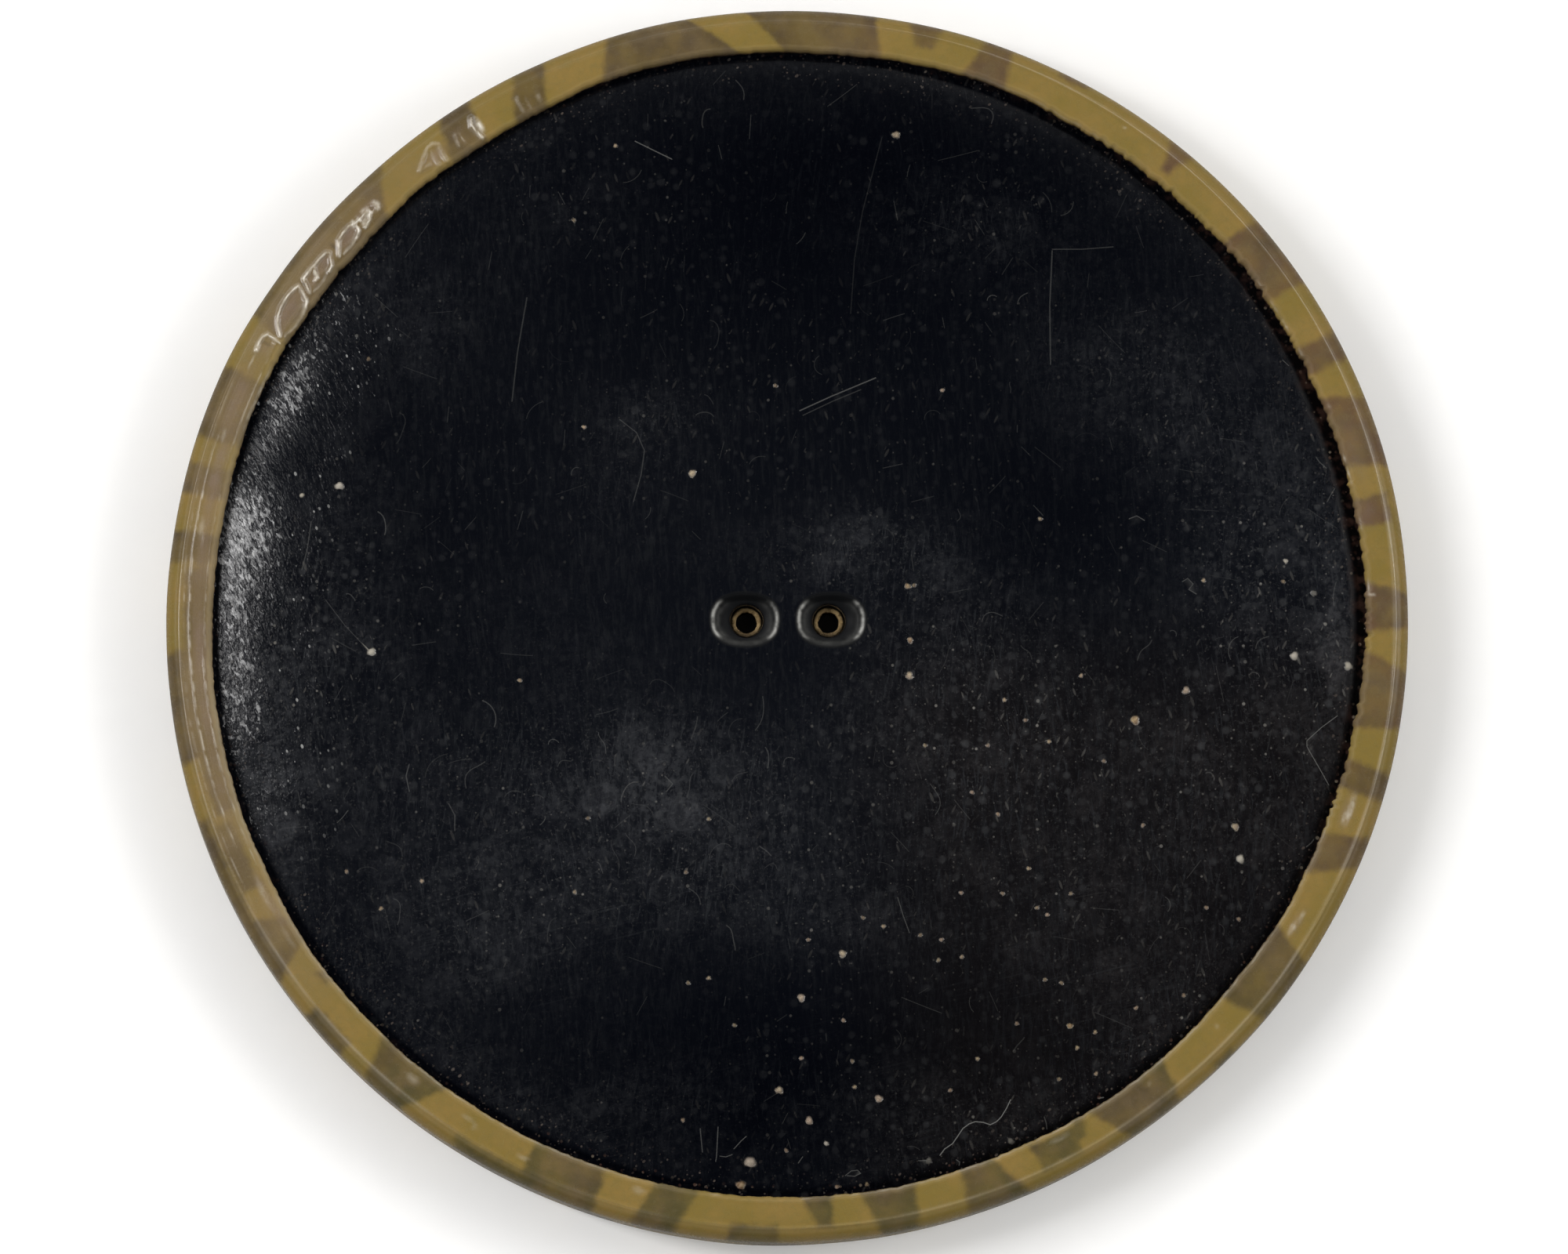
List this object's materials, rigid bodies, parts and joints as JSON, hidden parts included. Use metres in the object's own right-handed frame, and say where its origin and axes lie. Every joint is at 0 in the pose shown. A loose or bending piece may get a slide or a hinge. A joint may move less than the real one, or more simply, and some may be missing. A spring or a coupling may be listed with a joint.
{
  "type": "two-hole coat button",
  "caption": "Very large round sew-through coat button: a domed black face disc with oval wells, held by the rolled lip of a mottled sheet shell over a fibre core.",
  "frame": {"origin": "centre of the flat back face", "axes": "+Z out of the domed black face; X runs through the two thread holes, and +Y completes the right-handed frame"},
  "size_m": [0.0635, 0.0634, 0.0046],
  "materials": {
    "mottled_sheet": "honey-olive sheet with grey-brown mottle, satin gloss, slightly scuffed",
    "fibre_core": "raw tan pressed fibreboard",
    "black_plastic": "worn black gloss with fine scratches, dust and small pits"
  },
  "bodies": {
    "root": {"mottled_shell": "mottled_sheet", "core_disc": "fibre_core", "black_face": "black_plastic"}
  },
  "joints": []
}
